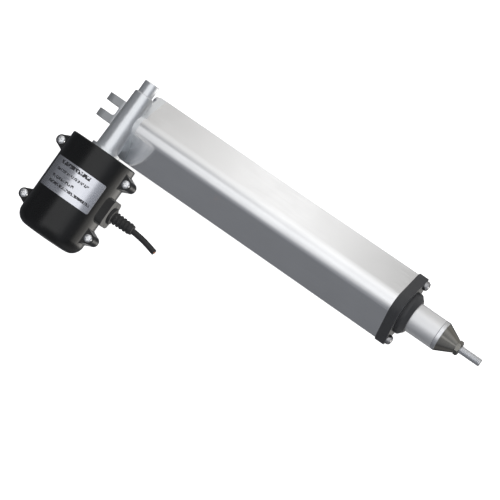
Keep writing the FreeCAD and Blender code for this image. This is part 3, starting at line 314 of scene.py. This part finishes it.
def foil():
    """Brushed foil with rows of printed marks that stand for text, none of which is a letter."""
    t = Tree("nameplate_foil")
    split = t.add("SeparateXYZ")
    t.plug(t.place, split.inputs[0])
    x = t.math("SUBTRACT", split.outputs["X"], WORM_X)
    z = t.math("SUBTRACT", split.outputs["Z"], WORM_Z)
    around = t.math("MULTIPLY", t.math("ARCTAN2", x, z), COVER_R + 0.3 * MM)
    along = t.math("MULTIPLY", split.outputs["Y"], -1.0)
    brushed = t.noise(1800, 3, (0.02, 1, 1))
    cloud = t.noise(30, 2)
    base = t.blend(brushed, rgba((0.62, 0.63, 0.68)), rgba((0.80, 0.81, 0.85)))
    ink = None
    # in mm, a row's middle, half height, start and end round the cover, then its marks' pitch
    # and the noise level above which they print
    rows = (
        (68.7, 1.9, -21.0, 15.0, 620.0, 0.42),
        (76.2, 1.4, -21.5, 18.0, 900.0, 0.48),
        (84.0, 1.4, -21.5, 6.0, 900.0, 0.48),
        (89.9, 1.4, -21.5, 29.0, 900.0, 0.45),
    )
    for number, (middle, half, start, end, pitch, gap) in enumerate(rows):
        across = t.math("ABSOLUTE", t.math("SUBTRACT", along, middle * MM))
        in_row = t.math("LESS_THAN", across, half * MM)
        after = t.math("GREATER_THAN", around, start * MM)
        before = t.math("LESS_THAN", around, end * MM)
        mark = t.add("TexNoise", noise_dimensions="2D")
        place = t.add("CombineXYZ")
        t.plug(t.math("MULTIPLY", around, pitch), place.inputs["X"])
        t.plug(t.math("MULTIPLY_ADD", along, 420.0, number * 9.3), place.inputs["Y"])
        t.plug(place.outputs[0], mark.inputs["Vector"])
        mark.inputs["Scale"].default_value = 1.0
        mark.inputs["Detail"].default_value = 1.0
        printed = t.math("GREATER_THAN", mark.outputs["Fac"], gap)
        inside = t.math("MULTIPLY", in_row, t.math("MULTIPLY", after, before))
        row = t.math("MULTIPLY", inside, printed)
        ink = row if ink is None else t.math("MAXIMUM", ink, row)
    color = t.blend(ink, base, rgba((0.03, 0.03, 0.035)))
    gloss = t.spread(t.math("ADD", brushed, cloud), 0.7, 1.3, 0.2, 0.34)
    return t.finish(
        Base_Color=color,
        Metallic=t.math("SUBTRACT", 1.0, t.math("MULTIPLY", ink, 0.9)),
        Roughness=t.math("ADD", gloss, t.math("MULTIPLY", ink, 0.2)),
        Normal=t.relief(t.math("SUBTRACT", brushed, ink), 0.00001),
    )


SLOTS["foil"] = foil()


# ---------------------------------------------------------------- CAD nodes
def dress(obj, material, bevel=0.0, angle=32):
    """Give a piece its material, round its edges and shade it smooth between them."""
    obj.data.materials.clear()
    obj.data.materials.append(material)
    if obj.type != "MESH":
        return
    weld = obj.modifiers.new("weld", "WELD")
    weld.merge_threshold = 0.000002
    if bevel:
        round_off = obj.modifiers.new("round_off", "BEVEL")
        round_off.width = bevel * MM
        round_off.segments = 3
        round_off.limit_method = "ANGLE"
        round_off.angle_limit = math.radians(angle)
        round_off.use_clamp_overlap = True
    else:
        split = obj.modifiers.new("split", "EDGE_SPLIT")
        split.split_angle = math.radians(angle)
    for polygon in obj.data.polygons:
        polygon.use_smooth = True
    even = obj.modifiers.new("even", "WEIGHTED_NORMAL")
    even.weight = 75
    even.keep_sharp = True


# widths of the rounded edges, in mm
BEVELS = {
    "gear_housing": 0.7,
    "front_cap": 0.5,
    "motor_cover_front": 0.45,
    "motor_cover_rear": 0.45,
    "outer_tube": 0.2,
    "rod_end_ring": 0.2,
    "stud_nut": 0.2,
    "worm_end_plug": 0.2,
    "cable_strain_relief": 0.25,
}

MOTOR_REACH_Y = -60 * MM
look_of = {row["node"]: row["material_slot"] for row in frame["record"]["subparts"]}
look_of["front_cap_screws"] = "dull_zinc"
for name, obj in nodes.items():
    dress(obj, SLOTS[look_of[name]], BEVELS.get(name, 0.0))
    # the bright metal doesn't mirror the black motor, which keeps the tube's lower side soft
    in_motor = min(corner[1] for corner in obj.bound_box) < MOTOR_REACH_Y
    obj.visible_glossy = not in_motor


# ---------------------------------------------------------------- end stud
def threaded_stud(name, start, first, last, root, crest, pitch):
    """A stud along X with a plain root from start to first and a real thread from there to last."""
    around, per_pitch = 48, 14
    chamfer = 0.8 * MM
    stations = [start, first]
    count = int((last - first) / pitch * per_pitch)
    stations += [first + (i + 1) * (last - first) / count for i in range(count)]
    bm = bmesh.new()
    rings = []
    for x in stations:
        ring = []
        for i in range(around):
            angle = 2 * math.pi * i / around
            phase = ((x - first) / pitch + angle / (2 * math.pi)) % 1.0
            flank = min(1.0, max(0.0, 1.6 * abs(2 * phase - 1) - 0.2))
            radius = root if x <= first else root + (crest - root) * flank
            if last - x < chamfer:
                radius = min(radius, crest - chamfer + (last - x))
            ring.append(bm.verts.new((x, radius * math.sin(angle), radius * math.cos(angle))))
        rings.append(ring)
    for near, far in zip(rings, rings[1:]):
        for i in range(around):
            j = (i + 1) % around
            bm.faces.new((near[i], near[j], far[j], far[i]))
    bm.faces.new(rings[0][::-1])
    bm.faces.new(rings[-1])
    bmesh.ops.recalc_face_normals(bm, faces=bm.faces)
    return from_bmesh(name, bm)


stud = threaded_stud(
    "end_stud_thread",
    start=382.5 * MM,
    first=410.6 * MM,
    last=433 * MM,
    root=3.38 * MM,
    crest=4 * MM,
    pitch=1.25 * MM,
)
dress(stud, SLOTS["zinc_steel"], angle=40)
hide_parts("end_stud")
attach(stud, "rod")

# ---------------------------------------------------------------- cable
def cut_strands(name, end, before, core_r, wire_r):
    """The copper wires of two cores, cut off square with the cable's end."""
    end, before = Vector(end), Vector(before)
    along = (end - before).normalized()
    across = Vector((0, 0, 1))
    side = along.cross(across)
    bm = bmesh.new()
    for core in (1, -1):
        middle = end + across * core * core_r
        spots = [(0, 0)] + [
            (2.2 * wire_r * math.cos(k * math.pi / 3), 2.2 * wire_r * math.sin(k * math.pi / 3))
            for k in range(6)
        ]
        for number, (u, v) in enumerate(spots):
            turn = along.to_track_quat("Z", "Y").to_matrix().to_4x4()
            place = middle + side * u + across * v + along * (0.1 + 0.05 * (number % 3)) * MM
            bmesh.ops.create_cone(
                bm,
                cap_ends=True,
                segments=10,
                radius1=wire_r,
                radius2=wire_r * 0.9,
                depth=0.8 * MM,
                matrix=Matrix.Translation(place) @ turn,
            )
    return from_bmesh(name, bm)


dress(cable, SLOTS["rubber"])
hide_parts("power_cable")
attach(cable, "frame")
cable.visible_glossy = False
strands = cut_strands(
    "cut_strands", CABLE_ROUTE[-1], CABLE_ROUTE[-2], core_r=1.2 * MM, wire_r=0.2 * MM
)
dress(strands, SLOTS["copper"])
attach(strands, "frame")


# ---------------------------------------------------------------- studio
def stage_plane(name, size, place, normal, material, **seen):
    mesh = bpy.data.meshes.new(name)
    half_x, half_y = size[0] / 2, size[1] / 2
    corners = [(x * half_x, y * half_y, 0) for x, y in ((-1, -1), (1, -1), (1, 1), (-1, 1))]
    mesh.from_pydata(corners, [], [(0, 1, 2, 3)])
    mesh.materials.append(material)
    made = add_object(name, mesh)
    turn = Vector((0, 0, 1)).rotation_difference(Vector(normal)).to_matrix().to_4x4()
    made.matrix_world = Matrix.Translation(place) @ turn
    for key, value in seen.items():
        setattr(made, key, value)
    return made


def paper(name, glow):
    """White paper that adds a glow of its own."""
    t = Tree(name)
    tone = t.blend(t.noise(60, 3), rgba((0.93, 0.93, 0.93)), rgba((0.96, 0.96, 0.96)))
    return t.finish(
        Base_Color=tone,
        Roughness=0.9,
        Specular_IOR_Level=0.0,
        Emission_Color=(1.0, 1.0, 1.0, 1.0),
        Emission_Strength=glow,
    )


def walls(middle, reach, floor_z):
    """Four white walls far off, which only the camera sees, so that low views have no horizon."""
    white = paper("paper_wall", 1.0)
    unseen = {"visible_" + ray: False for ray in ("diffuse", "glossy", "transmission", "shadow")}
    for number, (x, y) in enumerate(((1, 0), (-1, 0), (0, 1), (0, -1))):
        place = (middle + x * reach, y * reach, floor_z + reach)
        size = (2 * reach, 2 * reach)
        stage_plane("wall_%d" % (number + 1), size, place, (-x, -y, 0), white, **unseen)


class Sky(Tree):
    """World light as a sum of soft windows over directions."""

    def __init__(self, name):
        self.world = bpy.data.worlds.new(name)
        self.world.use_nodes = True
        self.tree = self.world.node_tree
        self.tree.nodes.clear()
        way = self.add("SeparateXYZ")
        self.plug(self.add("TexCoord").outputs["Generated"], way.inputs[0])
        self.x, self.y, self.z = way.outputs[0], way.outputs[1], way.outputs[2]
        self.light = (0.0, 0.0, 0.0)

    def step(self, value, low, high):
        made = self.add("MapRange", interpolation_type="SMOOTHSTEP")
        for name, number in (("Value", value), ("From Min", low), ("From Max", high)):
            self.plug(number, made.inputs[name])
        return made.outputs[0]

    def window(self, value, low, high, soft):
        rise = self.step(value, low - soft, low + soft)
        fall = self.step(value, high + soft, high - soft)
        return self.math("MULTIPLY", rise, fall)

    def glow(self, color, strength, *windows):
        """Add light of a colour where all the windows are open."""
        amount = strength
        for window in windows:
            amount = self.math("MULTIPLY", window, amount)
        scaled = self.add("VectorMath", operation="SCALE")
        self.plug(color, scaled.inputs[0])
        self.plug(amount, scaled.inputs["Scale"])
        total = self.add("VectorMath", operation="ADD")
        self.plug(self.light, total.inputs[0])
        self.plug(scaled.outputs[0], total.inputs[1])
        self.light = total.outputs[0]

    def finish(self):
        shader = self.add("Background")
        self.plug(self.light, shader.inputs["Color"])
        out = self.add("OutputWorld")
        self.tree.links.new(shader.outputs[0], out.inputs["Surface"])
        bpy.context.scene.world = self.world


WHITE = (1.0, 1.0, 1.0)
COOL = (0.95, 0.98, 1.05)
WARM = (1.03, 1.0, 0.95)


def studio():
    """White paper under the part, in a pale room with a wide soft strip of light overhead."""
    middle, reach, floor_z = 0.2, 6.0, -0.034
    white = paper("paper_floor", 0.85)
    place = (middle, 0, floor_z)
    stage_plane("paper", (2 * reach, 2 * reach), place, (0, 0, 1), white, visible_glossy=False)
    walls(middle, reach, floor_z)
    sky = Sky("studio")
    up = sky.step(sky.z, -0.1, 0.3)
    down = sky.step(sky.z, 0.05, -0.25)
    behind = sky.step(sky.y, 0.3, 0.85)
    left = sky.step(sky.x, -0.22, -0.27)
    right = sky.step(sky.x, -0.22, -0.17)
    across = sky.window(sky.y, -0.1, 0.14, 0.08)
    # a dim room, a little lighter overhead, towards +X and in front
    sky.glow(COOL, 0.10)
    sky.glow(COOL, 0.10, up)
    sky.glow(COOL, 0.18, up, sky.step(sky.x, 0.3, 0.7))
    sky.glow(COOL, 0.09, sky.step(sky.y, -0.5, -0.9))
    # light off the floor, which the cover's +X side mirrors
    sky.glow(WARM, 1.5, down, across, sky.step(sky.x, 0.35, 0.6))
    sky.glow(WARM, 1.3, sky.step(sky.z, -0.3, -0.7), across, sky.step(sky.x, 0.1, 0.4))
    sky.glow(WARM, 0.16, down, sky.step(sky.x, 0.1, 0.4))
    # the wall behind, which the tube's upper face mirrors, brightest at mid length
    sky.glow(WARM, 0.42, behind)
    sky.glow(WARM, 0.08, left, sky.step(sky.y, 0.05, 0.35))
    sky.glow(WARM, 0.15, sky.window(sky.x, -0.245, -0.19, 0.03), sky.step(sky.y, -0.3, 0.1))
    # the soft lamp overhead, in two parts, and the strip that runs along the tube's ridge
    lamp_left = sky.window(sky.y, -0.72, 0.1, 0.18)
    lamp_right = sky.window(sky.y, -0.5, 0.75, 0.35)
    strip = sky.window(sky.x, -0.252, -0.178, 0.022)
    sky.glow(WHITE, 1.15, up, left, sky.step(sky.x, -0.37, -0.25), lamp_left)
    sky.glow(WHITE, 0.92, strip, sky.step(sky.y, -1.0, -0.6))
    sky.glow(WHITE, 0.95, up, right, sky.step(sky.x, 0.85, 0.5), lamp_right)
    # a small lamp for the cone
    sky.glow(WHITE, 0.85, up, across, sky.window(sky.x, 0.68, 0.8, 0.05))
    sky.finish()
    bpy.context.scene.view_settings.view_transform = "Standard"


studio()
